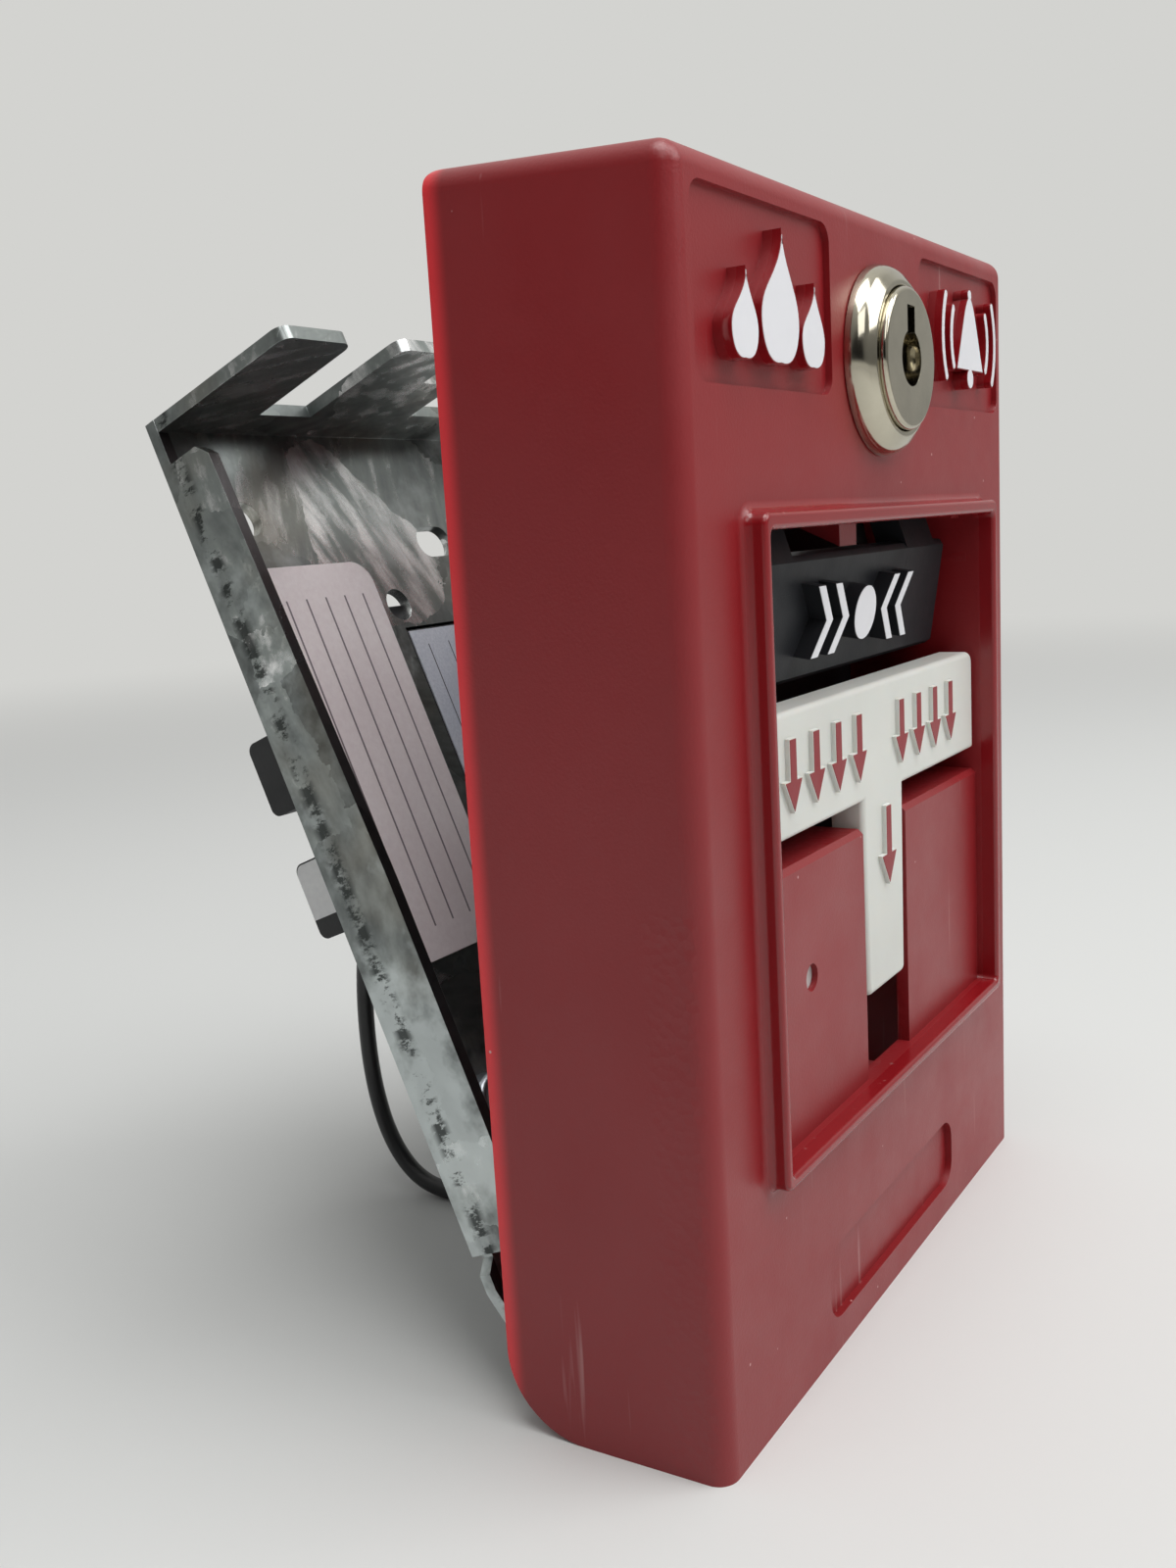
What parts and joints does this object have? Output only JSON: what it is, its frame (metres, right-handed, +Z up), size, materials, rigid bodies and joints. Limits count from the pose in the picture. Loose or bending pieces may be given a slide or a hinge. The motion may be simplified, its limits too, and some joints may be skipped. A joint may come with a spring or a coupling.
{
  "type": "manual call point",
  "caption": "Double-action manual call point: a push plate and a pull-down lever in a key-locked cover, hinged at its foot on a steel mounting plate with a module.",
  "frame": {"origin": "middle of the cover's flat foot", "axes": "+Z up the cover from its foot, -Y out of the cover's front, +X to the right seen from the front"},
  "size_m": [0.0952, 0.0835, 0.127],
  "materials": {
    "red_cover": "fine moulded texture",
    "black_plastic": "moulded, fine texture",
    "white_plastic": "smooth moulded",
    "clear_pipe": "polished",
    "nickel": "satin nickel plate",
    "zinc_steel": "bright zinc plate",
    "spring_steel": "blued bright strip",
    "galvanised": "galvanised, spangled",
    "brass_bushing": "plain turned",
    "switch_case": "smooth moulded",
    "plunger_red": "polished",
    "board_green": "solder mask",
    "led_red": "clear tinted",
    "terminal_green": "smooth moulded",
    "paper_label": "matt coated paper",
    "silver_label": "metallised film",
    "lead_black": "smooth sleeve",
    "lead_white": "smooth sleeve",
    "receptacle_clear": "clear nylon"
  },
  "bodies": {
    "cover": {"front_cover": "red_cover", "light_pipe": "clear_pipe", "lock_body": "nickel", "lock_nut": "zinc_steel", "handle_pivot_pin": "zinc_steel", "handle_detent_spring": "spring_steel", "push_plate_rod": "zinc_steel", "push_plate_springs": "spring_steel", "pin_clips": "spring_steel", "mechanism_guard": "black_plastic", "guard_screws": "zinc_steel"},
    "lock_core": {"lock_plug": "nickel", "key_post": "nickel", "lock_cam": "zinc_steel", "cam_screw": "zinc_steel"},
    "lever": {"pull_handle": "white_plastic", "handle_bushing": "brass_bushing"},
    "pusher": {"push_plate": "black_plastic"},
    "back_plate": {"mounting_plate": "galvanised", "plate_label": "paper_label", "ground_screw": "zinc_steel", "switch_body": "switch_case", "switch_terminals": "zinc_steel", "switch_screws": "zinc_steel", "module_housing": "black_plastic", "module_cover": "black_plastic", "module_front_label": "silver_label", "module_side_label": "paper_label", "module_screws": "zinc_steel", "module_circuit_board": "board_green", "status_led": "led_red", "terminal_block": "terminal_green", "terminal_screws": "zinc_steel", "lead_black": "lead_black", "lead_white": "lead_white", "lead_receptacles": "receptacle_clear", "lead_bushings": "black_plastic"},
    "plunger": {"switch_plunger": "plunger_red"}
  },
  "joints": [
    {"name": "plate_swing", "type": "hinge", "parent": "cover", "child": "back_plate", "pos_m": [0, 0.0116, 0.0065], "axis": [-1, 0, 0], "range_deg": [-22.3, 60]},
    {"name": "key_turn", "type": "hinge", "parent": "cover", "child": "lock_core", "pos_m": [0, 0, 0.11], "axis": [0, 1, 0], "range_deg": [0, 90]},
    {"name": "lever_pull", "type": "hinge", "parent": "cover", "child": "lever", "pos_m": [0, 0, 0.042], "axis": [1, 0, 0], "range_deg": [0, 40], "deforming": ["handle_detent_spring"]},
    {"name": "push_in", "type": "hinge", "parent": "cover", "child": "pusher", "pos_m": [0, -0.0012, 0.0942], "axis": [1, 0, 0], "range_deg": [0, 30], "stiffness_Nm_per_rad": 0.02, "springref_deg": -5.73, "deforming": ["push_plate_springs"]},
    {"name": "plunger_press", "type": "slide", "parent": "back_plate", "child": "plunger", "axis": [0, 0.9252, -0.3795], "range_m": [0, 0.0015], "stiffness_N_per_m": 300, "springref_m": -0.001}
  ]
}
